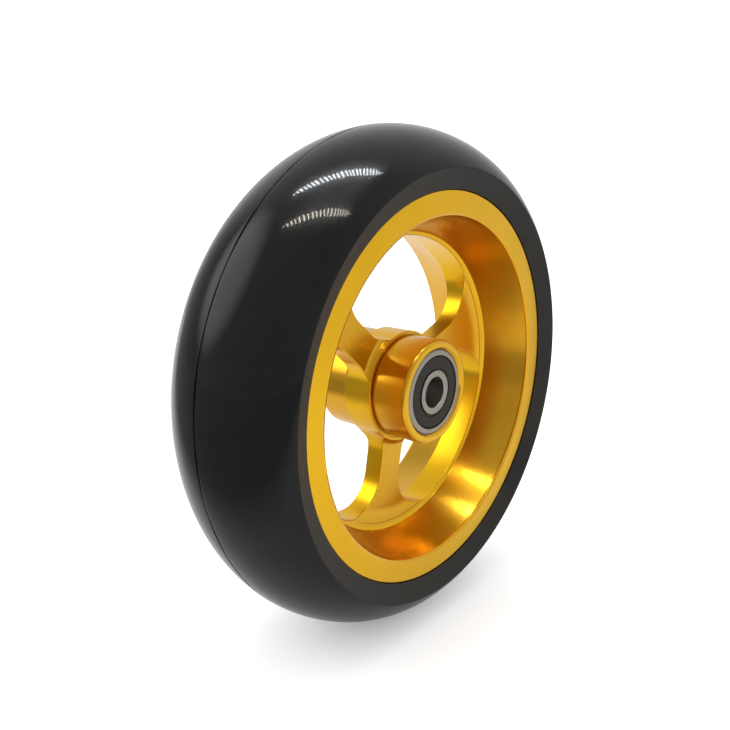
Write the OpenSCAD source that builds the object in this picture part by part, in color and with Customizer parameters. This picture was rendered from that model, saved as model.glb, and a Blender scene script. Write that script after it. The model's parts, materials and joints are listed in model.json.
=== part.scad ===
// Three-spoke caster wheel: a one-piece machined hub with a moulded tyre,
// turning on two sealed ball bearings with a spacer tube between them.
// Millimetres. The wheel's centre is the origin and its axle lies along Y;
// the front face looks towards -Y and +Z is up.

/* [Tyre] */
// Diameter over the tread
tyre_d = 127; // [100:1:160]
// Width over the two sidewall edges
tyre_w = 38; // [30:0.5:50]
// Height of the tyre section above the hub's flange
tyre_section = 14.7; // [13:0.1:20]
// Height of the rounded crown, as if it ran on to a vertical side
crown_h = 14.7; // [12:0.1:18]
// How far the crown's full width would pass each sidewall edge
crown_overhang = 1.25; // [0.5:0.05:3]
// Power of the crown's curve: 2 is an ellipse and more is squarer
crown_power = 1.91; // [1.7:0.01:2.6]
// Step from the flange face out to the foot of the sidewall
sidewall_step = 0.3; // [0:0.05:1]
// Width of the parting groove round the tread
seam_w = 0.5; // [0.2:0.05:1]
// Depth of the parting groove
seam_depth = 0.2; // [0.1:0.05:0.5]

/* [Rim] */
// Distance from each sidewall edge in to the flange face
flange_inset = 2.5; // [1:0.1:5]
// Radial width of the flange face, up to the dish wall
flange_land = 5.85; // [4:0.05:8]
// Thickness of each flange, along the axle
flange_t = 3; // [2:0.1:5]
// Height of each flange above the barrel that the tyre is moulded on
flange_lip = 2.8; // [1:0.1:4]
// Radius of the flange's inner edge
flange_edge_r = 0.8; // [0.2:0.1:2]
// How much the dish narrows from the flange down to the ledge
dish_taper = 3.9; // [2:0.1:6]
// Half thickness of the web at the ledge
ledge_half = 4.1; // [3:0.1:6]
// Width of each groove that locks the tyre onto the barrel
lock_w = 3; // [2:0.1:5]
// Depth of each lock groove
lock_depth = 1.5; // [0.5:0.1:2.5]
// Distance of each lock groove from the middle plane
lock_z = 6; // [4:0.5:8]

/* [Spokes] */
// Number of spokes
spoke_count = 3; // [3:1:5]
// Direction of the first spoke, turned up from +X
spoke_angle = 21.5; // [0:0.5:119]
// Width of a spoke at its waist
spoke_w = 8.2; // [6:0.1:14]
// Half thickness of a spoke
spoke_half = 2.6; // [2:0.1:4]
// Radius where a spoke flares into the rim
rim_flare = 9.9; // [3:0.1:10]
// Radius where a spoke flares into the boss
boss_flare = 7; // [2:0.1:9]
// Width of the sloping shoulder inside the ledge edge
shoulder_w = 1.4; // [1:0.1:3]
// Drop of that shoulder
shoulder_drop = 0.6; // [0.2:0.1:1]
// Width of the flat land between the shoulder and the hollow inside it
shoulder_land = 0.4; // [0.2:0.1:1]
// Radius of the hollow between that land and the spoke's flat
hollow_r = 9; // [2:0.5:20]
// Margin of the ledge left outside each window
window_margin = 1; // [0.5:0.1:3]

/* [Boss] */
// Wall between a bearing and the outside of the boss
boss_wall = 2.4; // [2:0.1:5]
// Overall length of the boss
boss_len = 27.9; // [24:0.1:40]
// Depth of each bearing's face below the boss face
bearing_recess = 0.25; // [0.05:0.05:1]
// Radius of the boss's outer edge
boss_edge_r = 1.2; // [0.3:0.1:2]
// Chamfer at the mouth of each bearing pocket
pocket_chamfer = 0.3; // [0.1:0.05:0.6]
// Shoulder that each outer race seats against
seat_shoulder = 1.8; // [1:0.1:2.5]
// Step from the boss up to the collar that the spokes grow from
collar_step = 1; // [0.6:0.1:2]
// Half thickness of the collar
collar_half = 4.1; // [3:0.1:6]
// Width of the collar's flat outside the windows' inner arcs
collar_land = 0.2; // [0.1:0.05:0.5]
// Radius of the hollow where a spoke runs up to the collar
collar_hollow_r = 2; // [1.6:0.1:4]
// Width of the relief groove between the collar and the boss
relief_w = 0.4; // [0.2:0.05:0.6]
// Depth of that groove
relief_depth = 0.4; // [0.1:0.05:1]

/* [Bearings] */
// Outer diameter of a bearing
bearing_od = 22; // [19:0.5:28]
// Bore of a bearing
bearing_bore = 8; // [6:0.5:9]
// Width of a bearing
bearing_w = 7; // [6:0.1:9]
// Diameter of a ball
ball_d = 3.969; // [3:0.001:4.8]
// Balls in one bearing
ball_count = 7; // [6:1:8]
// Clearance between a ball and the bottom of each raceway
ball_clearance = 0.03; // [0.02:0.01:0.06]
// How much larger the raceway's radius is than a ball's
groove_relief = 0.065; // [0.04:0.005:0.12]
// Distance from the ball circle to the shoulder of each race
race_gap = 1.45; // [1.2:0.05:1.7]
// Chamfer on the outer race's outside corners
race_chamfer = 0.3; // [0.1:0.05:0.5]
// Chamfer at each end of the inner race's bore
bore_chamfer = 0.34; // [0.1:0.02:0.5]
// Wall of the inner race where the seal lip runs
inner_land = 1.67; // [1.2:0.01:2]
// Wall of the outer race outside the seal
outer_land = 1.5; // [1.2:0.05:2]
// Thickness of the cage's pressed sheet
cage_t = 0.3; // [0.2:0.05:0.4]
// Radial width of the cage
cage_w = 1.5; // [1:0.1:1.8]
// Clearance of a ball in its pocket
pocket_clearance = 0.05; // [0.03:0.01:0.1]
// Diameter of a cage rivet's shank
rivet_d = 0.7; // [0.5:0.05:0.9]
// Diameter of a rivet's head
rivet_head_d = 1.1; // [0.9:0.05:1.3]
// Height of a rivet's head
rivet_head_h = 0.2; // [0.1:0.05:0.3]
// Depth of a seal's face below the bearing's face
seal_recess = 0.15; // [0.05:0.05:0.3]
// Gap between a seal and the cage
seal_cage_gap = 0.12; // [0.08:0.02:0.2]
// Running gap between a seal's lip and the inner race
lip_gap = 0.06; // [0.03:0.01:0.1]
// Depth of the seal's bead in the outer race
bead_depth = 0.2; // [0.1:0.05:0.3]
// Thickness of the steel insert in a seal
insert_t = 0.25; // [0.15:0.05:0.3]
// Margin of rubber inside and outside the insert
insert_margin = 0.6; // [0.4:0.05:0.9]

/* [Spacer] */
// Wall of the spacer tube
spacer_wall = 1.45; // [1:0.05:1.6]
// Clearance of the spacer's bore over the axle
spacer_clearance = 0.1; // [0.05:0.05:0.3]

/* [Hidden] */
$fn = 128;
// overlap of a cutting shape past the face that it cuts
past = 0.5;
crown_steps = 24;
SIDES = ["front", "rear"];

tyre_r = tyre_d / 2;
tyre_half = tyre_w / 2;
crown_half = tyre_half + crown_overhang;
flange_half = tyre_half - flange_inset;
flange_r = tyre_r - tyre_section;
barrel_r = flange_r - flange_lip;
barrel_half = flange_half - flange_t;
dish_r = flange_r - flange_land;
ledge_r = dish_r - dish_taper;
shoulder_r = ledge_r - shoulder_w;
shoulder_z = ledge_half - shoulder_drop;
window_r = ledge_r - window_margin;

bearing_r = bearing_od / 2;
bore_r = bearing_bore / 2;
half_w = bearing_w / 2;
boss_r = bearing_r + boss_wall;
boss_half = boss_len / 2;
bearing_face = boss_half - bearing_recess;
bearing_z = bearing_face - half_w;
seat_z = bearing_face - bearing_w;
seat_r = bearing_r - seat_shoulder;
collar_r = boss_r + collar_step;

// how far a hollow of radius r runs while it rises from the spoke's flat to z
function hollow_run(r, z) = sqrt(pow(r, 2) - pow(r - (z - spoke_half), 2));
shoulder_foot = shoulder_r - shoulder_land - hollow_run(hollow_r, shoulder_z);
collar_foot = collar_r + collar_land + hollow_run(collar_hollow_r, collar_half);

// the flares are limited by the gap that they share
window_gap = window_r - collar_r;
flare_out = min(rim_flare, 0.42 * window_gap);
flare_in = min(boss_flare, 0.36 * window_gap);
spoke_v = spoke_w / 2;
flare_out_u = sqrt(pow(window_r - flare_out, 2) - pow(spoke_v + flare_out, 2));
flare_in_u = sqrt(pow(collar_r + flare_in, 2) - pow(spoke_v + flare_in, 2));

ball_r = ball_d / 2;
pitch_r = (bearing_r + bore_r) / 2;
groove_r = ball_r + groove_relief;
inner_groove_c = pitch_r - ball_r - ball_clearance + groove_r;
outer_groove_c = pitch_r + ball_r + ball_clearance - groove_r;
pocket_in = ball_r + pocket_clearance;
pocket_out = pocket_in + cage_t;
cage_in_r = pitch_r - cage_w / 2;
cage_out_r = pitch_r + cage_w / 2;
seal_in_z = pocket_out + seal_cage_gap;
seal_out_z = half_w - seal_recess;
seal_in_r = bore_r + inner_land + lip_gap;
seal_out_r = bearing_r - outer_land;
ball_step = 360 / ball_count;

// Turns a shape drawn about Z to the wheel's axle: +Z goes to -Y, and +Y goes up.
module on_axle() rotate([90, 0, 0]) children();

// Puts a shape drawn about a bearing's centre, +Z outwards, into its pocket.
module bearing_at(side)
    on_axle() mirror([0, 0, side == "rear" ? 1 : 0]) translate([0, 0, bearing_z]) children();

// Spins a profile and its mirror image below the middle plane.
module revolve_both() rotate_extrude() {
    children();
    mirror([0, 1]) children();
}

// What rounding removes from a corner at [x, z]; dx and dz point out of the material.
module corner_cut(x, z, r, dx, dz) difference() {
    translate([x + (dx > 0 ? -r : -past), z + (dz > 0 ? -r : -past)]) square(r + past);
    translate([x - dx * r, z - dz * r]) circle(r);
}

// ---- tyre ----

// Points of one half of the crown, from the middle plane out to the sidewall edge
crown_end = asin(pow(tyre_half / crown_half, crown_power / 2));
function crown_point(t) = [
    tyre_r - crown_h * (1 - pow(cos(t), 2 / crown_power)),
    crown_half * pow(sin(t), 2 / crown_power)];
crown_points = [for (i = [0:crown_steps]) crown_point(crown_end * i / crown_steps)];

module barrel_grooves() translate([barrel_r - lock_depth, lock_z - lock_w / 2])
    square([lock_depth + past, lock_w]);

module tyre_profile() {
    difference() {
        polygon(concat(
            [[barrel_r, 0]],
            crown_points,
            [[flange_r, flange_half + sidewall_step], [flange_r, barrel_half], [barrel_r, barrel_half]]));
        polygon([[tyre_r + past, -seam_w], [tyre_r + past, seam_w / 2], [tyre_r - seam_depth / 4, seam_w / 2],
            [tyre_r - seam_depth, 0], [tyre_r - seam_depth, -seam_w]]);
    }
    translate([barrel_r - lock_depth, lock_z - lock_w / 2]) square([lock_depth + past, lock_w]);
}

module tyre() color([0.05, 0.05, 0.055]) on_axle() revolve_both() tyre_profile();

// ---- hub ----

// Rim, web and collar, before the windows are cut
module rim_profile() difference() {
    polygon([[boss_r - past, 0], [barrel_r, 0], [barrel_r, barrel_half], [flange_r, barrel_half],
        [flange_r, flange_half], [dish_r, flange_half], [dish_r, flange_half - flange_edge_r],
        [ledge_r, ledge_half], [shoulder_r, shoulder_z], [collar_foot + past, shoulder_z],
        [collar_foot + past, collar_half], [boss_r - past, collar_half]]);
    translate([collar_foot, spoke_half]) square([shoulder_foot - collar_foot, collar_half]);
    translate([collar_foot, spoke_half + collar_hollow_r]) circle(collar_hollow_r);
    intersection() {
        translate([shoulder_foot, spoke_half + hollow_r]) circle(hollow_r, $fn = 360);
        translate([shoulder_foot - past, 0]) square([shoulder_r - shoulder_foot + past, ledge_half]);
    }
    barrel_grooves();
    corner_cut(dish_r, flange_half, flange_edge_r, -1, 1);
    translate([boss_r, collar_half - relief_depth]) square([relief_w, relief_depth + past]);
}

module boss_profile() difference() {
    translate([seat_r, 0]) square([boss_r - seat_r, boss_half]);
    translate([0, seat_z]) square([bearing_r, bearing_w + past]);
    polygon([[bearing_r - past, boss_half - pocket_chamfer - past],
        [bearing_r - past, boss_half + past], [bearing_r + pocket_chamfer + past, boss_half + past]]);
    corner_cut(boss_r, boss_half, boss_edge_r, 1, 1);
}

// One side of a spoke, drawn along X: the material between the spoke's middle line and its edge
module half_spoke() {
    in_c = [flare_in_u, spoke_v + flare_in];
    out_c = [flare_out_u, spoke_v + flare_out];
    difference() {
        polygon([[0, 0], in_c, out_c, out_c * (window_r + past) / norm(out_c), [window_r + past, 0]]);
        translate(in_c) circle(flare_in);
        translate(out_c) circle(flare_out);
        polygon([[flare_in_u, spoke_v], [flare_out_u, spoke_v], out_c, in_c]);
    }
}

module windows() difference() {
    circle(window_r);
    circle(collar_r);
    for (i = [0:spoke_count - 1]) rotate(spoke_angle + i * 360 / spoke_count) {
        half_spoke();
        mirror([0, 1]) half_spoke();
    }
}

module hub() color([0.86, 0.6, 0.12]) on_axle() difference() {
    revolve_both() {
        rim_profile();
        boss_profile();
    }
    translate([0, 0, -ledge_half - past]) linear_extrude(2 * (ledge_half + past)) windows();
}

// ---- bearings, each drawn about its own centre ----

module outer_race() color([0.66, 0.66, 0.67]) rotate_extrude() difference() {
    translate([pitch_r, -half_w]) square([bearing_r - pitch_r, bearing_w]);
    translate([0, -seal_in_z]) square([pitch_r + race_gap, 2 * seal_in_z]);
    translate([outer_groove_c, 0]) circle(groove_r);
    for (s = [-1, 1]) {
        translate([0, s > 0 ? seal_in_z : -half_w - past]) square([seal_out_r, half_w - seal_in_z + past]);
        translate([0, s > 0 ? seal_in_z : -seal_out_z])
            square([seal_out_r + bead_depth, seal_out_z - seal_in_z]);
        polygon([[bearing_r + past, s * (half_w - race_chamfer - past)],
            [bearing_r + past, s * (half_w + past)], [bearing_r - race_chamfer - past, s * (half_w + past)]]);
    }
}

module inner_race() color([0.66, 0.66, 0.67]) rotate_extrude() difference() {
    union() {
        translate([bore_r, -half_w]) square([inner_land, bearing_w]);
        translate([bore_r, -seal_in_z]) square([pitch_r - race_gap - bore_r, 2 * seal_in_z]);
    }
    translate([inner_groove_c, 0]) circle(groove_r);
    for (s = [-1, 1]) polygon([[bore_r - past, s * (half_w - bore_chamfer - past)],
        [bore_r - past, s * (half_w + past)], [bore_r + bore_chamfer + past, s * (half_w + past)]]);
}

module ball(i) color([0.8, 0.8, 0.82]) rotate(i * ball_step) translate([pitch_r, 0, 0]) sphere(ball_r);

module cage_band() difference() {
    cylinder(r = cage_out_r, h = pocket_out + past);
    translate([0, 0, -past]) cylinder(r = cage_in_r, h = pocket_out + 3 * past);
}

module rivets(shank_only = false) for (i = [1:ball_count])
    rotate((i + 0.5) * ball_step) translate([pitch_r, 0, 0]) {
        translate([0, 0, -cage_t]) cylinder(d = rivet_d, h = 2 * cage_t);
        if (!shank_only) for (z = [-cage_t - rivet_head_h, cage_t])
            translate([0, 0, z]) cylinder(d = rivet_head_d, h = rivet_head_h);
    }

module cage_half() color([0.72, 0.7, 0.66]) difference() {
    intersection() {
        union() {
            cylinder(r = cage_out_r + past, h = cage_t);
            for (i = [1:ball_count]) rotate(i * ball_step) translate([pitch_r, 0, 0]) sphere(pocket_out);
        }
        cage_band();
    }
    for (i = [1:ball_count]) rotate(i * ball_step) translate([pitch_r, 0, 0]) sphere(pocket_in);
    rivets(shank_only = true);
}

module cage_rivets() color([0.72, 0.7, 0.66]) rivets();

insert_in_r = seal_in_r + insert_margin;
insert_out_r = seal_out_r + bead_depth - insert_margin;

module seal() color([0.1, 0.1, 0.105]) rotate_extrude() difference() {
    union() {
        translate([seal_in_r, seal_in_z]) square([seal_out_r - seal_in_r, seal_out_z - seal_in_z]);
        translate([seal_out_r - past, seal_in_z]) square([bead_depth + past, seal_out_z - seal_in_z]);
    }
    translate([insert_in_r, seal_in_z - past]) square([insert_out_r - insert_in_r, insert_t + past]);
}

module seal_insert() color([0.6, 0.6, 0.62]) rotate_extrude()
    translate([insert_in_r, seal_in_z]) square([insert_out_r - insert_in_r, insert_t]);

// ---- spacer ----

module spacer_tube() color([0.3, 0.3, 0.31]) on_axle() rotate_extrude()
    translate([bore_r + spacer_clearance, -seat_z]) square([spacer_wall, 2 * seat_z]);

// ---- what each node draws ----

tyre();
hub();
spacer_tube();
for (s = SIDES) {
    bearing_at(s) outer_race();
    bearing_at(s) inner_race();
    bearing_at(s) cage_half();
    bearing_at(s) mirror([0, 0, 1]) cage_half();
    bearing_at(s) cage_rivets();
    bearing_at(s) seal();
    bearing_at(s) seal_insert();
    bearing_at(s) mirror([0, 0, 1]) seal();
    bearing_at(s) mirror([0, 0, 1]) seal_insert();
    for (i = [1:ball_count])
        bearing_at(s) ball(i);
}
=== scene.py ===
"""Looks of a three-spoke caster wheel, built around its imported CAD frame.

The wheel turns about Y. Its front face looks towards -Y and +Z is up. The wheel's lengths are in
millimetres and are turned into metres when a mesh is made. The stage around it is in metres.
"""

import json
import math

import bpy
import numpy as np
from mathutils import Matrix, Vector


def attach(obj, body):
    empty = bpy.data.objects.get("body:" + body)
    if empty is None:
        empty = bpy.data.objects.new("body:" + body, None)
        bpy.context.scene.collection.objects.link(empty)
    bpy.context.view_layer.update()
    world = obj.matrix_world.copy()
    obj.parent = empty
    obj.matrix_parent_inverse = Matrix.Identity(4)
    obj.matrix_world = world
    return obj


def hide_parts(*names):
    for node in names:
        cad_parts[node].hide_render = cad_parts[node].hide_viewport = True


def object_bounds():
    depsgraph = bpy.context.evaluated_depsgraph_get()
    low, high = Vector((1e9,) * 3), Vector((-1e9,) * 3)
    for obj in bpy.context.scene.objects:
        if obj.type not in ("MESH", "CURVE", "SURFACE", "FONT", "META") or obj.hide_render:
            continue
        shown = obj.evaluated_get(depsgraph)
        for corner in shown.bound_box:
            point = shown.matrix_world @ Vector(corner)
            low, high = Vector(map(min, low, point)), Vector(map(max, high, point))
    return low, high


MM = 0.001
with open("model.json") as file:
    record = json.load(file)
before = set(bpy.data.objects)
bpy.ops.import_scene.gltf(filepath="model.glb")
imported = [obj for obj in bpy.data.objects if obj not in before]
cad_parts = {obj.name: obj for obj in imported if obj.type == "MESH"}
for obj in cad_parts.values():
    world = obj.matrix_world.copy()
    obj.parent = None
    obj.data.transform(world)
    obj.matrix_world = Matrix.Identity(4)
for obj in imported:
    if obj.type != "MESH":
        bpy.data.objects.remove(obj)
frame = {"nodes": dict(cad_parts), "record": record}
cad_low, cad_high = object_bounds()


def node_half(node):
    """Largest radius about the axle and largest distance from the middle plane of a CAD node, in mm."""
    mesh = frame["nodes"][node].data
    co = np.empty(len(mesh.vertices) * 3)
    mesh.vertices.foreach_get("co", co)
    co = co.reshape(-1, 3) / MM
    return np.hypot(co[:, 0], co[:, 2]).max(), np.abs(co[:, 1]).max()


# ---- sizes, which follow the frame ----

TYRE_R, TYRE_HALF = node_half("tyre")
FLANGE_R, FLANGE_HALF = node_half("hub")
BEARING_R, BEARING_FACE = node_half("front_outer_race")

# tyre
CROWN_H, CROWN_OVERHANG, CROWN_POWER = 14.7, 1.25, 1.91
CROWN_EDGE_R, SIDEWALL_STEP, TYRE_FIT = 0.35, 0.3, 0.02
SEAM_W, SEAM_DEPTH, SEAM_LIP = 0.5, 0.2, 0.02
SEAM_FLOOR_HALF, SEAM_MOUTH_HALF, SEAM_CLEAR_HALF = 0.16 * SEAM_W, 0.42 * SEAM_W, 0.9 * SEAM_W
# rim
FLANGE_LIP, FLANGE_T, FLANGE_LAND, FLANGE_EDGE_R = 2.8, 3.0, 5.85, 0.8
DISH_TAPER, LEDGE_HALF = 3.9, 4.1
LOCK_W, LOCK_DEPTH, LOCK_AT = 3.0, 1.5, 6.0
# web and spokes
SPOKES, SPOKE_ANGLE = 3, math.radians(21.5)
SPOKE_V, SPOKE_HALF = 4.1, 2.6
RIM_FLARE, BOSS_FLARE = 9.9, 7.0
SHOULDER_W, SHOULDER_DROP, SHOULDER_LAND, HOLLOW_R = 1.4, 0.6, 0.4, 9.0
WINDOW_MARGIN = 1.0
EDGE_BREAK = 0.22
# boss
BOSS_WALL, BOSS_OVER_BEARING, BOSS_EDGE_R = 2.4, 0.25, 1.2
POCKET_CHAMFER, SEAT_SHOULDER = 0.55, 1.8
COLLAR_STEP, COLLAR_HALF, COLLAR_LAND, COLLAR_HOLLOW_R = 1.0, 4.1, 0.2, 2.0
RELIEF_W, RELIEF_DEPTH = 0.4, 0.4
# bearings
BEARING_W, BORE_R = 7.0, 4.0
OUTER_LAND, INNER_LAND = 1.5, 1.67
BALL_R, BALL_CLEARANCE, PITCH_R, RACE_GAP, GROOVE_R = 1.9845, 0.03, 7.5, 1.45, 2.0495
SEAL_IN_Z, SEAL_RECESS, SEAL_BEAD, SEAL_FIT = 2.4545, 0.15, 0.2, 0.02
SEAL_DIP, SEAL_SLOPE, SEAL_LIP_W, SEAL_RIM_W, LIP_GAP = 0.33, 0.14, 0.5, 0.28, 0.06
INSERT_IN_R, INSERT_OUT_R, INSERT_T = 6.33, 9.1, 0.25

BARREL_R = FLANGE_R - FLANGE_LIP
BARREL_HALF = FLANGE_HALF - FLANGE_T
DISH_R = FLANGE_R - FLANGE_LAND
LEDGE_R = DISH_R - DISH_TAPER
SHOULDER_R = LEDGE_R - SHOULDER_W
SHOULDER_Z = LEDGE_HALF - SHOULDER_DROP
WINDOW_R = LEDGE_R - WINDOW_MARGIN
BOSS_R = BEARING_R + BOSS_WALL
BOSS_HALF = BEARING_FACE + BOSS_OVER_BEARING
SEAT_Z = BEARING_FACE - BEARING_W
SEAT_R = BEARING_R - SEAT_SHOULDER
COLLAR_R = BOSS_R + COLLAR_STEP
TURN = 2 * math.pi
SECTOR = TURN / SPOKES
# a face this near to a height lies on it, the flange is faced from this far outside the dish, and the bore's
# steel, painted lighter as painted light, reaches this far round its edge
FLAT, FACED_FROM, PAINTED_BORE_REACH = 0.02, 0.5, 0.2

# ---- how finely the round stretches are cut ----

TYRE_SEGMENTS, BEARING_SEGMENTS = 224, 88
CROWN_POINTS, GROOVE_STEPS, EDGE_STEPS = 40, 8, 2
# an arc of a small radius gets fewer faces than these steps
ARC_STEPS, WEB_ARC_STEPS, BEARING_ARC_STEPS, STEPS_PER_MM = 5, 3, 4, 6
COLLAR_HOLLOW_STEPS, HOLLOW_STEPS = 8, 7
# a spoke's rows of faces, with the least gap between two rows, its columns, and the steps in which its side
# is measured
SPOKE_ROWS, ROW_GAP, SPOKE_COLUMNS, SPOKE_SIDE_STEP = 28, 0.12, 20, 0.02
# points round a window's arc, with the two where it meets the spokes
WINDOW_POINTS = 40
ACROSS = np.linspace(-1, 1, SPOKE_COLUMNS + 1)


# ---- profiles and surfaces of revolution ----


def mirrored(corners):
    """The same corners on the other side of the middle plane, in the opposite order."""
    return [(r, -z, rounding) for r, z, rounding in reversed(corners)]


def rounded(corners, steps=ARC_STEPS):
    """Points and normals of an outline of (x, y, radius) corners, walked with the material on its right.

    A corner with a radius becomes an arc. One without is part of a smooth curve, and its normal is the mean
    of its two sides. The outline's two ends stay as they are.
    """
    xy = np.array([c[:2] for c in corners], float)
    points, normals = [], []

    def side(i):
        d = xy[i + 1] - xy[i]
        d /= np.linalg.norm(d)
        return np.array([-d[1], d[0]])

    last = len(xy) - 1
    for i, (_, _, radius) in enumerate(corners):
        before = side(i - 1) if i > 0 else side(0)
        after = side(i) if i < last else side(last - 1)
        if i in (0, last) or not radius:
            n = before + after
            points.append(xy[i])
            normals.append(n / np.linalg.norm(n))
            continue
        turn = math.atan2(before[0] * after[1] - before[1] * after[0], before @ after)
        # an arc takes a little less than half of the shorter side
        reach = min(np.linalg.norm(xy[i] - xy[i - 1]), np.linalg.norm(xy[i + 1] - xy[i])) * 0.49
        radius = min(radius, reach / abs(math.tan(turn / 2)))
        sign = 1.0 if turn < 0 else -1.0
        middle = (before + after) / np.linalg.norm(before + after)
        centre = xy[i] - sign * middle * radius / math.cos(turn / 2)
        count = min(steps, 1 + round(radius * STEPS_PER_MM))
        for k in range(count + 1):
            a = turn * k / count
            n = np.array([before[0] * math.cos(a) - before[1] * math.sin(a),
                          before[0] * math.sin(a) + before[1] * math.cos(a)])
            points.append(centre + sign * n * radius)
            normals.append(n)
    return np.array(points), np.array(normals)


def arc(cx, cy, radius, start, end, steps):
    """Corners without a radius along an arc, in degrees."""
    return [(cx + radius * math.cos(math.radians(a)), cy + radius * math.sin(math.radians(a)), 0)
            for a in np.linspace(start, end, steps + 1)]


def swept(radial, axial, angles):
    """Vectors with the given radial and axial parts, at angles about Y."""
    x, z = radial * np.cos(angles), radial * np.sin(angles)
    return np.stack([x, np.broadcast_to(axial, x.shape), z], axis=-1)


def about_axle(points, normals, angles):
    """Grids of places and normals of a (radius, height) profile turned through angles about Y."""
    return swept(points[:, :1], points[:, 1:], angles), swept(normals[:, :1], normals[:, 1:], angles)


class Builder:
    """Collects vertices with their true normals, and quads with a material index, for one mesh."""

    def __init__(self):
        self.co, self.no, self.faces, self.marks = [], [], [], []

    def rows(self, co, no):
        """Adds a grid of vertices and returns their indices, in the grid's shape."""
        first = len(self.co)
        flat = np.reshape(co, (-1, 3))
        self.co.extend(flat)
        self.no.extend(np.reshape(no, (-1, 3)))
        return np.arange(first, first + len(flat)).reshape(np.shape(co)[:-1])

    def grid(self, index, mark, closed=False, flip=False):
        """Quads over a grid of indices. closed joins its last column to its first."""
        a = np.concatenate([index, index[:, :1]], axis=1) if closed else index
        quads = np.stack([a[:-1, :-1], a[:-1, 1:], a[1:, 1:], a[1:, :-1]], axis=-1).reshape(-1, 4)
        if flip:
            quads = quads[:, ::-1]
        self.faces.extend(quads)
        self.marks.extend([mark] * len(quads))

    def make(self, name, materials):
        """The mesh object, in metres, with its normals and materials."""
        mesh = bpy.data.meshes.new(name)
        mesh.from_pydata([tuple(v * MM) for v in self.co], [], [quad.tolist() for quad in self.faces])
        for material in materials:
            mesh.materials.append(material)
        mesh.polygons.foreach_set("material_index", self.marks)
        mesh.polygons.foreach_set("use_smooth", [True] * len(self.faces))
        mesh.update()
        mesh.normals_split_custom_set_from_vertices([tuple(n) for n in self.no])
        return place_mesh(name, mesh)


def place_mesh(name, mesh):
    """A new object of the scene with this mesh."""
    obj = bpy.data.objects.new(name, mesh)
    bpy.context.scene.collection.objects.link(obj)
    return obj


def turned(name, corners, materials, segments, steps, mark_of):
    """A solid of revolution about Y from a closed outline of (radius, y, rounding) corners."""
    ring = list(corners)
    middle = tuple((np.array(ring[0][:2]) + np.array(ring[-1][:2])) / 2) + (0,)
    points, normals = rounded([middle, *ring, middle], steps)
    points, normals = points[:-1], normals[:-1]
    builder = Builder()
    index = builder.rows(*about_axle(points, normals, np.linspace(0, TURN, segments, endpoint=False)))
    index = np.concatenate([index, index[:1]])
    following = np.roll(points, -1, axis=0)
    for i, (a, b) in enumerate(zip(points, following)):
        builder.grid(index[i:i + 2], mark_of(*(a + b) / 2), closed=True)
    return builder.make(name, materials)


def stand_for(piece, node, body):
    """piece stands for a CAD node, whose part is hidden, and rides on its body."""
    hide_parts(node)
    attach(piece, body)


# ---- materials ----

# noise scales, per metre
CLOUDS, FLOW, STAINS = 60.0, 45.0, 300.0
TURNING_MARKS, GRINDING_MARKS, MOULD_MARKS = 2600.0, 5200.0, 1800.0
FINE_GRAIN, RUBBER_SPECKS, SEAL_GRAIN = 5200.0, 2400.0, 3500.0
# bump depths, in metres
FINE_DEPTH, MARK_DEPTH, SPECK_DEPTH, WAVE_DEPTH = 0.00002, 0.00003, 0.00004, 0.0004

POLISH_ROUGHNESS = 0.045
BRUSH_TURN = 0.25
# the open, unlit side of the light tent
FRONT = (-0.988, 0.154, 0.0)
# what the wheel mirrors of the paper is painted: its level well behind, darker as a painted shade, its level
# near the wheel, and how much is left past a line in front, a painted shade where the paper goes on. It
# changes between these places ahead of the wheel, in metres
PAPER_BEHIND, PAPER_NEAR, PAPER_PAINTED_SHADE_PAST = 0.61, 0.79, 0.35
PAPER_RISE, PAINTED_SHADE_START = (-0.3, -0.08), (0.08, 0.13)
PAPER_BACKLIGHT = 0.2


def tint(base, factor=1.0):
    """A base colour times a factor, with its alpha."""
    return tuple(c * factor for c in base) + (1,)


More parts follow.
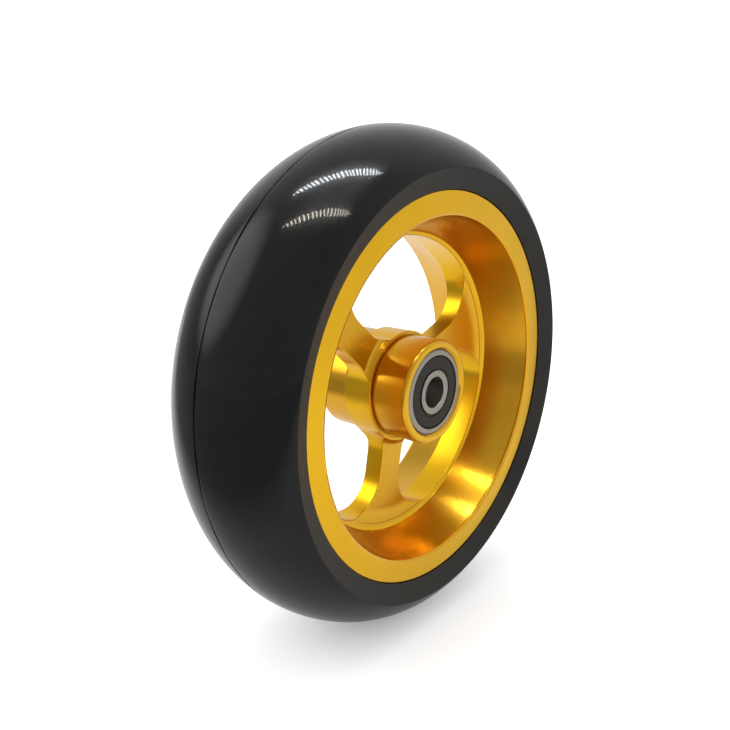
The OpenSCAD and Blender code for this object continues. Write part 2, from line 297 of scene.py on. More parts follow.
class Nodes:
    """A new material's node tree, with short calls to add and join nodes."""

    def __init__(self, name):
        self.material = bpy.data.materials.new(name)
        self.material.use_nodes = True
        self.tree = self.material.node_tree
        self.shader = self.tree.nodes["Principled BSDF"]

    def add(self, kind, settings=None, **values):
        node = self.tree.nodes.new(kind)
        for key, value in (settings or {}).items():
            setattr(node, key, value)
        for key, value in values.items():
            self.put(node, key.replace("_", " "), value)
        return node

    def put(self, node, key, value):
        socket = node.inputs[int(key) if key.isdigit() else key]
        if isinstance(value, bpy.types.NodeSocket):
            self.tree.links.new(value, socket)
        else:
            socket.default_value = value

    def math(self, operation, a, b=0.0):
        node = self.add("ShaderNodeMath", {"operation": operation})
        self.put(node, "0", a)
        self.put(node, "1", b)
        return node.outputs[0]

    def place(self):
        """The object's own coordinates, in metres."""
        return self.add("ShaderNodeTexCoord").outputs["Object"]

    def noise(self, vector, scale, detail=2.0, rough=0.5):
        return self.add("ShaderNodeTexNoise", Vector=vector, Scale=scale, Detail=detail,
                        Roughness=rough).outputs["Fac"]

    def lathe_marks(self, place, scale):
        """Noise that is the same all round the axle, as a turning tool leaves it."""
        apart = self.add("ShaderNodeSeparateXYZ", Vector=place)
        x, y, z = (apart.outputs[i] for i in range(3))
        radius = self.math("SQRT", self.math("ADD", self.math("MULTIPLY", x, x), self.math("MULTIPLY", z, z)))
        vector = self.add("ShaderNodeCombineXYZ", X=radius, Y=y).outputs[0]
        return self.noise(vector, scale, 4.0, 0.65)

    def span(self, value, low, high, to_low, to_high):
        node = self.add("ShaderNodeMapRange", Value=value)
        for key, number in (("From Min", low), ("From Max", high), ("To Min", to_low), ("To Max", to_high)):
            node.inputs[key].default_value = number
        return node.outputs[0]

    def vary(self, noise, low, high, spread=0.2):
        """From low to high as a noise, whose mean is a half, goes from spread below that to spread above."""
        return self.span(noise, 0.5 - spread, 0.5 + spread, low, high)

    def blend(self, factor, a, b):
        node = self.add("ShaderNodeMix", {"data_type": "RGBA"})
        self.put(node, "0", factor)
        self.put(node, "6", a)
        self.put(node, "7", b)
        return node.outputs[2]

    def bump(self, height, strength, distance, normal=None):
        node = self.add("ShaderNodeBump", Strength=strength, Distance=distance, Height=height)
        if normal is not None:
            self.put(node, "Normal", normal)
        return node.outputs[0]

    def surface(self, **values):
        for key, value in values.items():
            self.put(self.shader, key.replace("_", " "), value)
        return self.material


def anodised(name, colours, roughness, marks, anisotropy):
    """Gold-anodised aluminium. marks is how strongly turning marks show."""
    n = Nodes(name)
    place = n.place()
    cloud = n.noise(place, CLOUDS, 3.0)
    colour = n.blend(n.vary(cloud, 0.0, 1.0, 0.15), *colours)
    lathe = n.lathe_marks(place, TURNING_MARKS)
    rough = n.math("ADD", n.vary(lathe, roughness - 0.04 * marks, roughness + 0.05 * marks),
                   n.vary(cloud, -0.015, 0.02))
    fine = n.noise(place, FINE_GRAIN)
    normal = n.bump(fine, 0.02, FINE_DEPTH, n.bump(lathe, 0.12 * marks, MARK_DEPTH))
    n.surface(Base_Color=colour, Metallic=1.0, Roughness=rough, Normal=normal)
    if anisotropy:
        tangent = n.add("ShaderNodeTangent", {"direction_type": "RADIAL", "axis": "Y"})
        n.surface(Anisotropic=anisotropy, Anisotropic_Rotation=BRUSH_TURN, Tangent=tangent.outputs[0])
    return n.material


def tyre_rubber(name, roughness, base, grain, mottle, specular, shine):
    """Moulded black polyurethane with faint flow mottle and fine grain. shine is how much is polished."""
    n = Nodes(name)
    place = n.place()
    cloud = n.noise(place, FLOW, 4.0, 0.6)
    specks = n.noise(place, RUBBER_SPECKS, 3.0, 0.7)
    colour = n.blend(n.vary(cloud, 0.0, 1.0, 0.15), tint(base, 0.75), tint(base, 1.25))
    rough = n.math("ADD", n.vary(cloud, roughness - mottle, roughness + mottle), n.vary(specks, -0.02, 0.03))
    waves = n.bump(cloud, 0.2, WAVE_DEPTH)
    normal = n.bump(specks, grain, SPECK_DEPTH, waves)
    return n.surface(Base_Color=colour, Roughness=rough, Normal=normal, Specular_IOR_Level=specular,
                     Coat_Weight=shine, Coat_Roughness=POLISH_ROUGHNESS, Coat_Normal=waves)


def steel(name, base, roughness, marks):
    """Ground bearing steel with fine rings about the axle."""
    n = Nodes(name)
    place = n.place()
    lathe = n.lathe_marks(place, GRINDING_MARKS)
    cloud = n.noise(place, STAINS)
    colour = n.blend(n.vary(cloud, 0.0, 1.0), tint(base, 0.9), tint(base))
    rough = n.math("ADD", n.vary(lathe, roughness - 0.05, roughness + 0.07), n.vary(cloud, -0.02, 0.03))
    rings = n.bump(lathe, marks, FINE_DEPTH)
    return n.surface(Base_Color=colour, Metallic=1.0, Roughness=rough, Normal=rings)


def moulded(name, base, roughness):
    """Dull moulded seal rubber with a fine grain."""
    n = Nodes(name)
    place = n.place()
    grain = n.noise(place, SEAL_GRAIN, 3.0, 0.6)
    rings = n.lathe_marks(place, MOULD_MARKS)
    colour = n.blend(n.vary(rings, 0.0, 1.0), tint(base, 0.85), tint(base, 1.15))
    rough = n.vary(grain, roughness - 0.06, roughness + 0.06)
    return n.surface(Base_Color=colour, Roughness=rough, Normal=n.bump(grain, 0.2, MARK_DEPTH),
                     Specular_IOR_Level=0.12)


def paper(name, base):
    """The stage's pale sheet. What the wheel mirrors of it is painted: darker well behind, and a painted
    shade past a line a little way in front, though the sheet goes on.
    """
    n = Nodes(name)
    place = n.add("ShaderNodeNewGeometry").outputs["Position"]
    dot = n.add("ShaderNodeVectorMath", {"operation": "DOT_PRODUCT"}, **{"0": place, "1": FRONT})
    ahead = dot.outputs["Value"]
    # in reflections only, the sheet's colour is painted shade: darker behind, and darker past a line in front
    lit = n.span(ahead, *PAPER_RISE, PAPER_BEHIND, PAPER_NEAR)
    painted_mirror_colour = n.math("MULTIPLY", lit, n.span(ahead, *PAINTED_SHADE_START, 1.0, PAPER_PAINTED_SHADE_PAST))
    ray = n.add("ShaderNodeLightPath").outputs
    colour = n.blend(ray["Is Glossy Ray"], tint(base), painted_mirror_colour)
    backlight = n.math("MULTIPLY", ray["Is Camera Ray"], PAPER_BACKLIGHT)
    return n.surface(Base_Color=colour, Roughness=0.9, Specular_IOR_Level=0.0, Emission_Strength=backlight)


def emitter(name, colour, strength):
    """A material that only shines."""
    n = Nodes(name)
    return n.surface(Base_Color=(0, 0, 0, 1), Emission_Color=tint(colour), Emission_Strength=strength)


GOLD = ((0.76, 0.435, 0.016, 1), (0.73, 0.41, 0.012, 1))
DEEP_GOLD = ((0.69, 0.378, 0.028, 1), (0.66, 0.352, 0.022, 1))
TURNED_GOLD = anodised("gold_turned", DEEP_GOLD, roughness=0.21, marks=0.2, anisotropy=0.55)
FACE_GOLD = anodised("gold_faced", GOLD, roughness=0.3, marks=0.6, anisotropy=0.4)
MILLED_GOLD = anodised("gold_milled", GOLD, roughness=0.25, marks=0.1, anisotropy=0.0)
CROWN_BLACK = tyre_rubber("tyre_crown", roughness=0.16, base=(0.0054, 0.0056, 0.0058), grain=0.03,
                          mottle=0.02, specular=0.06, shine=0.25)
SIDEWALL_BLACK = tyre_rubber("tyre_sidewall", roughness=0.5, base=(0.0135, 0.0112, 0.0088), grain=0.35,
                             mottle=0.05, specular=0.22, shine=0.0)
# the seam's groove is painted much darker than the crown: painted shade in the groove
SEAM_SHADED_BLACK = tyre_rubber("tyre_seam_painted_shade", roughness=0.6, base=(0.0015, 0.0015, 0.0015), grain=0.3,
                         mottle=0.05, specular=0.02, shine=0.0)
RACE_STEEL = steel("race_steel", (0.32, 0.29, 0.245), roughness=0.36, marks=0.25)
# the bore's steel is the race steel painted lighter: painted light in the bore
BORE_STEEL_PAINTED_LIGHT = steel("bore_steel_painted_light", (0.46, 0.43, 0.39), roughness=0.36, marks=0.15)
BALL_STEEL = steel("ball_steel", (0.72, 0.72, 0.74), roughness=0.08, marks=0.02)
CAGE_STEEL = steel("cage_steel", (0.55, 0.53, 0.49), roughness=0.32, marks=0.1)
SEAL_RUBBER = moulded("seal_rubber", (0.024, 0.0205, 0.0165), roughness=0.5)
SPACER_METAL = steel("spacer_metal", (0.5, 0.5, 0.51), roughness=0.3, marks=0.3)


# ---- tyre ----

CROWN, SIDEWALL, SEAM = range(3)


def lock_groove():
    """Half profile of the barrel's lock groove, which the tyre fills, walked towards the middle."""
    outer, inner, bottom = LOCK_AT + LOCK_W / 2, LOCK_AT - LOCK_W / 2, BARREL_R - LOCK_DEPTH
    return [(BARREL_R, outer, 0.1), (bottom, outer, 0.1), (bottom, inner, 0.1), (BARREL_R, inner, 0.1)]


def crown_profile():
    """The crown's half outline from the seam to the sidewall's edge, between an ellipse and a square."""
    half = TYRE_HALF + CROWN_OVERHANG
    power = 2 / CROWN_POWER
    start = 0.03
    end = math.asin((TYRE_HALF / half) ** (1 / power))
    return [(TYRE_R - CROWN_H * (1 - math.cos(t) ** power), half * math.sin(t) ** power, 0)
            for t in np.linspace(start, end, CROWN_POINTS)]


def wander(angle):
    """How much wider the parting line is at an angle round the tread, and how far it strays in mm."""
    widen = 1 + 0.5 * math.sin(7 * angle) * math.sin(17 * angle + 1)
    stray = 0.05 * math.sin(5 * angle) + 0.04 * math.sin(13 * angle + 2)
    return widen, stray


def make_tyre():
    bottom = (TYRE_R - SEAM_DEPTH, 0, 0)
    seam = [(TYRE_R - SEAM_DEPTH * 0.72, SEAM_FLOOR_HALF, 0.03), (TYRE_R - SEAM_LIP, SEAM_MOUTH_HALF, 0.08)]
    crown = [c for c in crown_profile() if c[1] > SEAM_CLEAR_HALF]
    edge_r, edge_z, _ = crown[-1]
    crown[-1] = (edge_r, edge_z, CROWN_EDGE_R)
    sidewall_z = FLANGE_HALF + SIDEWALL_STEP
    inside = [(FLANGE_R + TYRE_FIT, sidewall_z, 0.25), (FLANGE_R + TYRE_FIT, BARREL_HALF, 0.05),
              (BARREL_R, BARREL_HALF, 0.05), *lock_groove()]
    half = seam + crown + inside
    ring = mirrored(half) + [bottom] + half

    def mark(r, y):
        if abs(y) < SEAM_MOUTH_HALF and r > BARREL_R:
            return SEAM
        return SIDEWALL if abs(y) > sidewall_z - 0.05 and r < edge_r - 0.1 else CROWN

    tyre = turned("tyre_moulding", ring[::-1], [CROWN_BLACK, SIDEWALL_BLACK, SEAM_SHADED_BLACK], TYRE_SEGMENTS,
                  ARC_STEPS, mark)
    for vertex in tyre.data.vertices:
        x, y, z = vertex.co / MM
        if abs(y) < SEAM_W / 2 and math.hypot(x, z) > TYRE_R - 1:
            widen, stray = wander(math.atan2(z, x))
            vertex.co.y = (y * widen + stray) * MM
    return tyre


# ---- hub ----

TURNED, FACED, MILLED = range(3)


def hollow_run(radius, rise):
    """How far a hollow runs while it rises from the spoke's flat."""
    return math.sqrt(radius ** 2 - (radius - rise) ** 2)


COLLAR_FOOT = COLLAR_R + COLLAR_LAND + hollow_run(COLLAR_HOLLOW_R, COLLAR_HALF - SPOKE_HALF)
SHOULDER_FOOT = SHOULDER_R - SHOULDER_LAND - hollow_run(HOLLOW_R, SHOULDER_Z - SPOKE_HALF)


def web_profile():
    """Radii, heights and normals of the web's upper side, from the collar to the ledge."""
    collar_top = math.degrees(math.asin((COLLAR_HOLLOW_R - COLLAR_HALF + SPOKE_HALF) / COLLAR_HOLLOW_R))
    shoulder_top = math.degrees(math.asin((HOLLOW_R - SHOULDER_Z + SPOKE_HALF) / HOLLOW_R))
    # it starts inside the collar, because a window's edge is broken into it
    corners = [(COLLAR_R - 1.0, COLLAR_HALF, 0), (COLLAR_R + COLLAR_LAND, COLLAR_HALF, 0.12)]
    corners += arc(COLLAR_FOOT, SPOKE_HALF + COLLAR_HOLLOW_R, COLLAR_HOLLOW_R, 180 + collar_top, 270,
                   COLLAR_HOLLOW_STEPS)[1:]
    corners += arc(SHOULDER_FOOT, SPOKE_HALF + HOLLOW_R, HOLLOW_R, 270, 360 - shoulder_top, HOLLOW_STEPS)[:-1]
    corners += [(SHOULDER_R - SHOULDER_LAND, SHOULDER_Z, 0.15), (SHOULDER_R, SHOULDER_Z, 0.3),
                (LEDGE_R, LEDGE_HALF, 0)]
    return rounded(corners, WEB_ARC_STEPS)


WEB_POINTS, WEB_NORMALS = web_profile()


def web_at(radius):
    """Height and (radial, upward) normal of the web's upper side at a radius."""
    height = np.interp(radius, WEB_POINTS[:, 0], WEB_POINTS[:, 1])
    out = np.interp(radius, WEB_POINTS[:, 0], WEB_NORMALS[:, 0])
    up = np.interp(radius, WEB_POINTS[:, 0], WEB_NORMALS[:, 1])
    length = np.hypot(out, up)
    return height, out / length, up / length


def spoke_side():
    """One side of a spoke that points along +X: places and normals into the metal, from boss to rim."""
    in_u = math.sqrt((COLLAR_R + BOSS_FLARE) ** 2 - (SPOKE_V + BOSS_FLARE) ** 2)
    out_u = math.sqrt((WINDOW_R - RIM_FLARE) ** 2 - (SPOKE_V + RIM_FLARE) ** 2)
    in_v, out_v = SPOKE_V + BOSS_FLARE, SPOKE_V + RIM_FLARE
    start = math.atan2(-in_v, -in_u)
    end = math.atan2(out_v, out_u)
    inner = np.linspace(start, -math.pi / 2, int(BOSS_FLARE * 2 / SPOKE_SIDE_STEP))
    outer = np.linspace(-math.pi / 2, end, int(RIM_FLARE * 2 / SPOKE_SIDE_STEP))
    line = np.linspace(in_u, out_u, int((out_u - in_u) / SPOKE_SIDE_STEP))[1:-1]
    places = np.concatenate([
        np.stack([in_u + BOSS_FLARE * np.cos(inner), in_v + BOSS_FLARE * np.sin(inner)], 1),
        np.stack([line, np.full(len(line), SPOKE_V)], 1),
        np.stack([out_u + RIM_FLARE * np.cos(outer), out_v + RIM_FLARE * np.sin(outer)], 1)])
    normals = np.concatenate([
        np.stack([np.cos(inner), np.sin(inner)], 1),
        np.tile([0.0, -1.0], (len(line), 1)),
        np.stack([np.cos(outer), np.sin(outer)], 1)])
    return places, normals


def spoke_rows():
    """Places along a spoke's side, and normals there, that its rows of faces start from."""
    places, normals = spoke_side()
    inset = np.hypot(*(places + normals * EDGE_BREAK).T)
    along = np.concatenate([[0], np.cumsum(np.hypot(*np.diff(places, axis=0).T))])
    at_profile = np.interp(WEB_POINTS[:, 0], inset, along)
    wanted = np.concatenate([np.linspace(0, along[-1], SPOKE_ROWS), at_profile])
    kept = []
    for s in np.sort(wanted):
        if not kept or s - kept[-1] > ROW_GAP:
            kept.append(s)
    kept[-1] = along[-1]

    def at_rows(values):
        return np.stack([np.interp(kept, along, values[:, i]) for i in (0, 1)], 1)

    normals = at_rows(normals)
    return at_rows(places), normals / np.linalg.norm(normals, axis=1)[:, None]


def rim_half():
    """The rim's half profile from the window's edge outwards and round to the barrel's middle."""
    start_r = WINDOW_R + EDGE_BREAK
    first = (start_r, float(np.interp(start_r, WEB_POINTS[:, 0], WEB_POINTS[:, 1])), 0)
    top = [tuple(p) + (0,) for p in WEB_POINTS[WEB_POINTS[:, 0] > start_r + 0.05][:-1]]
    return [first, *top, (LEDGE_R, LEDGE_HALF, 0.35), (DISH_R, FLANGE_HALF - FLANGE_EDGE_R, 0.3),
            (DISH_R + 0.05, FLANGE_HALF - FLANGE_EDGE_R * 0.45, 0.3),
            (DISH_R + FLANGE_EDGE_R, FLANGE_HALF, 0.4), (FLANGE_R, FLANGE_HALF, 0.3),
            (FLANGE_R, BARREL_HALF, 0.1), (BARREL_R, BARREL_HALF, 0.1), *lock_groove()]


def rim_finish(r, z):
    """The flange's face and the shoulder under the ledge are faced, and the rest of the rim is turned."""
    on_flange = abs(z) > FLANGE_HALF - FLAT and r > DISH_R + FACED_FROM
    on_shoulder = SHOULDER_R < r < LEDGE_R and abs(z) < LEDGE_HALF
    return FACED if on_flange or on_shoulder else TURNED


def boss_half():
    """The boss's half profile from the collar's top edge inwards and down its bore to the middle."""
    return [(COLLAR_R - EDGE_BREAK, COLLAR_HALF, 0), (BOSS_R + RELIEF_W, COLLAR_HALF, 0.08),
            (BOSS_R + RELIEF_W, COLLAR_HALF - RELIEF_DEPTH, 0.08), (BOSS_R, COLLAR_HALF - RELIEF_DEPTH, 0.1),
            (BOSS_R, BOSS_HALF, BOSS_EDGE_R), (BEARING_R + POCKET_CHAMFER, BOSS_HALF, 0.12),
            (BEARING_R, BOSS_HALF - POCKET_CHAMFER, 0.1), (BEARING_R, SEAT_Z, 0.1), (SEAT_R, SEAT_Z, 0.2)]


def boss_finish(r, z):
    return FACED if abs(z) > BOSS_HALF - FLAT else TURNED


def window_arc(start):
    """Angles round a window's arc, from a spoke's middle, between the ends that its spokes have already."""
    return np.linspace(start, SECTOR - start, WINDOW_POINTS)[1:-1]


def ring_angles(start):
    """Angles of a ring's columns: in each sector across the spoke, then round the window from start."""
    sector = np.concatenate([start * ACROSS, window_arc(start)])
    return np.concatenate([sector + SPOKE_ANGLE + i * SECTOR for i in range(SPOKES)])


def hub_ring(builder, half, start, mark_of, flip):
    """Both halves of a ring, joined in the middle. Returns the indices of its rear and its front edge.

    Each edge is two grids with a row for each sector: its columns across the spoke, and round the window.
    """
    points, normals = rounded(half + mirrored(half))
    index = builder.rows(*about_axle(points, -normals if flip else normals, ring_angles(start)))
    for i in range(len(points) - 1):
        builder.grid(index[i:i + 2], mark_of(*(points[i] + points[i + 1]) / 2), closed=True, flip=flip)
    return [np.split(edge.reshape(SPOKES, -1), [len(ACROSS)], axis=1) for edge in (index[0], index[-1])]


def spoke_face(builder, i, side, radii, half_angles, boss_edge, rim_edge):
    """Quads over the rear (side 1) or front (side -1) of a spoke, between the boss and the rim."""
    height, out, up = (a[:, None] for a in web_at(radii))
    angles = half_angles[:, None] * ACROSS + SPOKE_ANGLE + i * SECTOR
    places, normals = swept(radii[:, None], side * height, angles), swept(out, side * up, angles)
    inner = builder.rows(places[1:-1], normals[1:-1])
    index = np.concatenate([boss_edge[None], inner, rim_edge[None]])
    builder.grid(index, TURNED, flip=side < 0)
    return index


def window_outline(i, places, normals):
    """Places round a window and normals into its metal: a spoke's side, rim arc, the next spoke, boss arc."""
    base = SPOKE_ANGLE + i * SECTOR

    def rotated(vectors, angle):
        c, s = math.cos(angle), math.sin(angle)
        return np.stack([vectors[:, 0] * c - vectors[:, 1] * s, vectors[:, 0] * s + vectors[:, 1] * c], 1)

    def next_spoke(vectors):
        return rotated(vectors * [1, -1], base + SECTOR)[::-1]

    def outwards(end):
        angles = window_arc(math.atan2(end[1], end[0])) + base
        return np.stack([np.cos(angles), np.sin(angles)], 1)

    rim, boss = outwards(places[-1]), outwards(places[0])[::-1]
    outline = np.concatenate([rotated(places, base), rim * WINDOW_R, next_spoke(places), boss * COLLAR_R])
    metal = np.concatenate([rotated(normals, base), rim, next_spoke(normals), -boss])
    return outline, metal


def edge_loops(builder, outline, metal, side, top):
    """Loops of a window's broken edge, from its top loop of indices down to where the wall is upright."""
    height, out, up = web_at(np.hypot(*(outline + metal * EDGE_BREAK).T))
    outwards = outline / np.linalg.norm(outline, axis=1)[:, None]
    loops = [top]
    for t in np.linspace(0, math.pi / 2, EDGE_STEPS + 1)[1:]:
        place = outline + metal * EDGE_BREAK * (1 - math.sin(t))
        y = side * (height - EDGE_BREAK * (1 - math.cos(t)))
        flat = outwards * (out * math.cos(t))[:, None] - metal * math.sin(t)
        normal = np.stack([flat[:, 0], side * up * math.cos(t), flat[:, 1]], 1)
        normal /= np.linalg.norm(normal, axis=1)[:, None]
        loops.append(builder.rows(np.stack([place[:, 0], y, place[:, 1]], 1), normal))
    return loops


def make_hub():
    """One closed mesh: the rim's and boss's rings, the spokes' two faces, and the windows' walls."""
    builder = Builder()
    places, normals = spoke_rows()
    inset = places + normals * EDGE_BREAK
    inset_r, inset_a = np.hypot(*inset.T), np.arctan2(inset[:, 1], inset[:, 0])
    rim = hub_ring(builder, rim_half(), inset_a[-1], rim_finish, flip=False)
    boss = hub_ring(builder, boss_half(), inset_a[0], boss_finish, flip=True)
    sides = list(zip((1, -1), rim, boss))
    spokes = {}
    for side, rim_edge, boss_edge in sides:
        for i in range(SPOKES):
            spokes[side, i] = spoke_face(builder, i, side, inset_r, inset_a, boss_edge[0][i], rim_edge[0][i])
    for i in range(SPOKES):
        outline, metal = window_outline(i, places, normals)
        walls = []
        for side, rim_edge, boss_edge in sides:
            following = spokes[side, (i + 1) % SPOKES]
            top = np.concatenate([spokes[side, i][:, -1], rim_edge[1][i], following[::-1, 0],
                                  boss_edge[1][i][::-1]])
            walls.append(edge_loops(builder, outline, metal, side, top))
        rear, front = walls
        builder.grid(np.stack(rear + front[::-1]), MILLED, closed=True, flip=True)
    return builder.make("hub_machining", [TURNED_GOLD, FACE_GOLD, MILLED_GOLD])


# ---- bearings ----

# ground faces, and the bore, whose lighter steel is painted light
GROUND, PAINTED_LIGHT_BORE = range(2)


def groove(centre, opens):
    """The ball groove of a race as corners, walked from its low edge to its high edge. opens is 1 or -1."""
    edge = math.degrees(math.acos(opens * (PITCH_R + opens * RACE_GAP - centre) / GROOVE_R))
    turn = arc(0, 0, GROOVE_R, -edge, edge, GROOVE_STEPS)
    return [(centre + opens * x, z, 0) for x, z, _ in turn]


def race_profiles():
    """Outlines of a bearing's outer and inner race about its own centre, height outwards."""
    half, land, inner_r = BEARING_W / 2, BEARING_R - OUTER_LAND, BORE_R + INNER_LAND
    outer_side = [(land, half, 0.15), (BEARING_R, half, 0.7)]
    seal_seat = [(land, half - SEAL_RECESS, 0.03), (land + SEAL_BEAD, half - SEAL_RECESS, 0.03),
                 (land + SEAL_BEAD, SEAL_IN_Z, 0.03), (PITCH_R + RACE_GAP, SEAL_IN_Z, 0.1)]
    shoulder = SEAL_IN_Z - SEAL_FIT
    inner_side = [(BORE_R, half, 0.34), (inner_r, half, 0.18), (inner_r, shoulder, 0.05),
                  (PITCH_R - RACE_GAP, shoulder, 0.1)]
    play = BALL_R + BALL_CLEARANCE - GROOVE_R
    outer = outer_side + mirrored(outer_side) + mirrored(seal_seat[::-1])
    outer += groove(PITCH_R + play, 1) + seal_seat[::-1]
    inner = inner_side + groove(PITCH_R - play, -1)[::-1] + mirrored(inner_side)
    return outer, inner


def seal_profile():
    """Outline of a bearing's outer seal: a raised face between two dips, and a bead in the race's groove."""
    land, lip = BEARING_R - OUTER_LAND, BORE_R + INNER_LAND + LIP_GAP
    dip, face = BEARING_W / 2 - SEAL_RECESS - SEAL_DIP, BEARING_W / 2 - SEAL_RECESS - SEAL_FIT
    face_in, face_out, back = lip + SEAL_LIP_W, land - SEAL_RIM_W, SEAL_IN_Z + SEAL_FIT
    bead, insert_top = land + SEAL_BEAD - SEAL_FIT, SEAL_IN_Z + INSERT_T
    return [(lip, dip, 0.06), (face_in, dip, 0.1), (face_in + SEAL_SLOPE, face, 0.12),
            (face_out - SEAL_SLOPE, face, 0.12), (face_out, dip, 0.1), (land - 0.1, dip, 0.05),
            (land - SEAL_FIT, face, 0.04), (bead, face, 0.04), (bead, back, 0.04),
            (INSERT_OUT_R, back, 0.02), (INSERT_OUT_R, insert_top, 0.02),
            (INSERT_IN_R, insert_top, 0.02), (INSERT_IN_R, back, 0.02), (lip, back, 0.05)]


# the bore and its edge take the steel painted lighter as painted light, the rest is ground
def race_finish_or_painted_bore(r, z):
    return PAINTED_LIGHT_BORE if r < BORE_R + PAINTED_BORE_REACH else GROUND


def make_bearing(side):
    """A bearing's visible rings, in their pocket on the front or the rear."""
    centre, sign = BEARING_FACE - BEARING_W / 2, -1 if side == "front" else 1
    outer, inner = race_profiles()
    steels = [RACE_STEEL, BORE_STEEL_PAINTED_LIGHT]
    rings = (("outer_race", outer, steels, "wheel", "bearing_steel"),
             ("inner_race", inner, steels, "axle_stack", "bearing_steel"),
             ("outer_seal", seal_profile(), [SEAL_RUBBER], "wheel", "seal_rubber"))
    for part, corners, materials, body, slot in rings:
        placed = [(r, sign * (centre + z), rounding) for r, z, rounding in corners][::sign]
        ring = turned(f"{side}_{part}_turning", placed, materials, BEARING_SEGMENTS, BEARING_ARC_STEPS,
                      race_finish_or_painted_bore)
        stand_for(ring, f"{side}_{part}", body)


# ---- stage, lights and camera ----

SQUARE = ((-1, -1), (1, -1), (1, 1), (-1, 1))
FLOOR_Z, FLOOR_HALF = cad_low.z, 40.0
LIGHT_H = 0.47
# a lamp's length, how much its ends slant, and the power by which a strip narrows towards its ends
LAMP_LONG, LAMP_SLANT, STRIP_TAPER = 0.0062, 0.8, 5
# where the two lamp strips start and end over the floor
STRIPS = (((-0.095, 0.184), (0.135, -0.146)), ((-0.231, 0.100), (-0.020, -0.296)))
# the tent's level of light in what the wheel mirrors, and where it differs. Each place has a direction, the
# cosines at which it starts and is full, the level outside it and the level inside it, and they add up
WALL_LEVEL = 0.85
TENT = {"open front": ((-0.87, -0.12, 0.48), -0.15, 0.76, WALL_LEVEL, 0.56),
        "bright corner": ((-0.505, 0.67, 0.545), 0.885, 0.975, 0.0, 2.55),
        "shaded back": ((-0.2, 0.95, 0.2), 0.8, 0.97, 0.0, -0.42),
        "halo of the strips": ((-0.02, -0.1, 1.0), 0.92, 0.995, 0.0, 0.9),
        "top": ((0.35, 0.35, 0.87), 0.6, 0.9, 0.0, 0.12)}
# the level of plain white light that the camera and dull surfaces see
ROOM_LEVEL = 1.4
# the camera's azimuth, elevation and roll, in degrees, and the wheel's centre in the camera's own axes, in mm
CAMERA_TURN, WHEEL_FROM_CAMERA = (-49.556, 17.434, 0.822), (8.364, 8.573, -183.822)
SENSOR_W, LENS, LENS_SHIFT = 36.0, 34.29, (0.00547, 0.069)


def make_floor():
    mesh = bpy.data.meshes.new("floor")
    mesh.from_pydata([(x * FLOOR_HALF, y * FLOOR_HALF, FLOOR_Z) for x, y in SQUARE], [], [(0, 1, 2, 3)])
    mesh.materials.append(paper("floor_paper", (0.86, 0.86, 0.86)))
    place_mesh("floor", mesh)


def make_strip(name, start, end, lamps, wide, strength, colour):
    """A level row of small lamps that show as highlights, smaller at its ends. It lights no dull surface."""
    a, b = Vector((*start, LIGHT_H)), Vector((*end, LIGHT_H))
    along = (b - a).normalized()
    across = along.cross(Vector((0, 0, 1)))
    vertices, faces = [], []
    for i in range(lamps):
        middle = a.lerp(b, (i + 0.5) / lamps)
        reach = wide / 2 * (1 - abs(2 * (i + 0.5) / lamps - 1) ** STRIP_TAPER)
        first = len(vertices)
        for u, v in SQUARE:
            forward = u * LAMP_LONG / 2 + v * reach * LAMP_SLANT
            vertices.append(middle + along * forward + across * v * reach)
        faces.append(range(first, first + 4))
    mesh = bpy.data.meshes.new(name)
    mesh.from_pydata(vertices, [], faces)
    mesh.materials.append(emitter(name, colour, strength))
    strip = place_mesh(name, mesh)
    strip.visible_diffuse = False


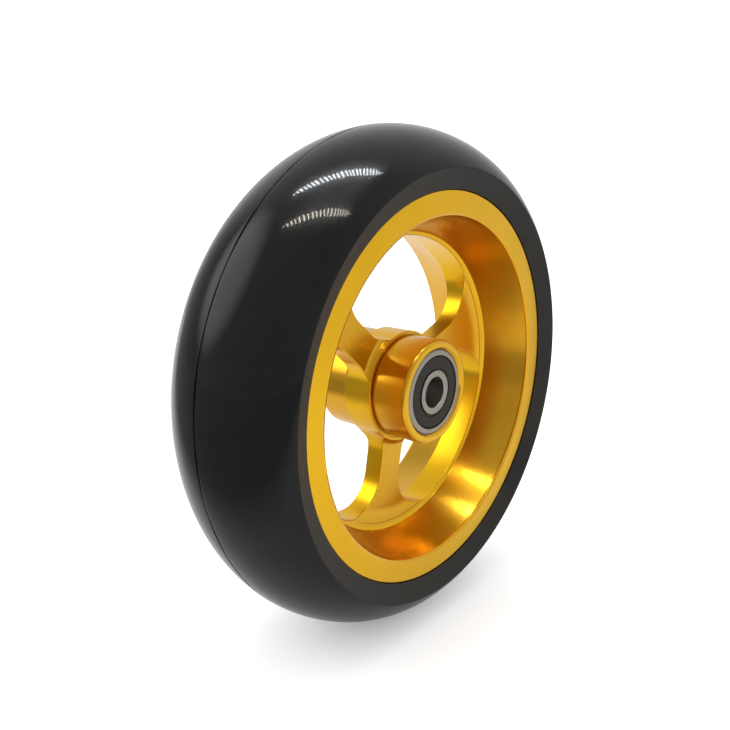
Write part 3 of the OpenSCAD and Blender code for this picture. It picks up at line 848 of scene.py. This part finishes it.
def make_world():
    """Soft light from all round. What the wheel mirrors is a light tent that is darker at its open front."""
    world = bpy.data.worlds.new("studio")
    bpy.context.scene.world = world
    world.use_nodes = True
    tree = world.node_tree
    back = tree.nodes["Background"]
    place = tree.nodes.new("ShaderNodeTexCoord").outputs["Generated"]

    def node(kind, settings, *values):
        made = tree.nodes.new(kind)
        for key, value in settings.items():
            setattr(made, key, value)
        for socket, value in zip(made.inputs, values):
            if isinstance(value, bpy.types.NodeSocket):
                tree.links.new(value, socket)
            else:
                socket.default_value = value
        return made.outputs

    def toward(direction, start, full, outside, inside):
        """A value that changes smoothly as a direction nears the given one. start and full are cosines."""
        dot = node("ShaderNodeVectorMath", {"operation": "DOT_PRODUCT"}, place, direction)["Value"]
        smooth = {"interpolation_type": "SMOOTHSTEP"}
        return node("ShaderNodeMapRange", smooth, dot, start, full, outside, inside)[0]

    level = 0.0
    for differs in TENT.values():
        level = node("ShaderNodeMath", {"operation": "ADD"}, level, toward(*differs))[0]
    ray = tree.nodes.new("ShaderNodeLightPath").outputs
    plain = node("ShaderNodeMath", {"operation": "MAXIMUM"}, ray["Is Camera Ray"], ray["Is Diffuse Ray"])[0]
    room = node("ShaderNodeMath", {"operation": "MULTIPLY"}, plain, ROOM_LEVEL)[0]
    strength = node("ShaderNodeMath", {"operation": "MAXIMUM"}, level, room)[0]
    tree.links.new(strength, back.inputs["Strength"])
    back.inputs["Color"].default_value = tint((1.0, 1.0, 1.0))


def make_camera():
    """A camera that looks down a little at the wheel's front face, from close by."""
    azimuth, elevation, roll = (math.radians(a) for a in CAMERA_TURN)
    back = Vector((math.sin(azimuth) * math.cos(elevation), -math.cos(azimuth) * math.cos(elevation),
                   math.sin(elevation)))
    right = Vector((0, 0, 1)).cross(back).normalized()
    up = back.cross(right)
    right, up = (right * math.cos(roll) + up * math.sin(roll), up * math.cos(roll) - right * math.sin(roll))
    turn = Matrix((right, up, back)).transposed()
    data = bpy.data.cameras.new("camera")
    data.sensor_width, data.lens = SENSOR_W, LENS
    data.shift_x, data.shift_y = LENS_SHIFT
    data.clip_start, data.clip_end = 0.01, 80.0
    camera = bpy.data.objects.new("camera", data)
    camera.matrix_world = turn.to_4x4()
    camera.location = -(turn @ (Vector(WHEEL_FROM_CAMERA) * MM))
    bpy.context.scene.collection.objects.link(camera)
    bpy.context.scene.camera = camera


make_camera()
make_world()
make_floor()
make_strip("strip_a", *STRIPS[0], lamps=25, wide=0.038, strength=76.0, colour=(0.92, 0.95, 1.0))
make_strip("strip_b", *STRIPS[1], lamps=20, wide=0.032, strength=70.0, colour=(1.0, 0.96, 0.80))
bpy.context.scene.view_settings.view_transform = "Standard"

stand_for(make_tyre(), "tyre", "wheel")
stand_for(make_hub(), "hub", "wheel")
make_bearing("front")
make_bearing("rear")

# the other CAD nodes stay, with better materials
NODE_MATERIALS = {"bearing_steel": RACE_STEEL, "ball_steel": BALL_STEEL, "cage_steel": CAGE_STEEL,
                  "seal_rubber": SEAL_RUBBER, "spacer": SPACER_METAL}
for part in frame["record"]["subparts"]:
    node = frame["nodes"][part["node"]]
    if not node.hide_render:
        node.data.materials.clear()
        node.data.materials.append(NODE_MATERIALS[part["material_slot"]])
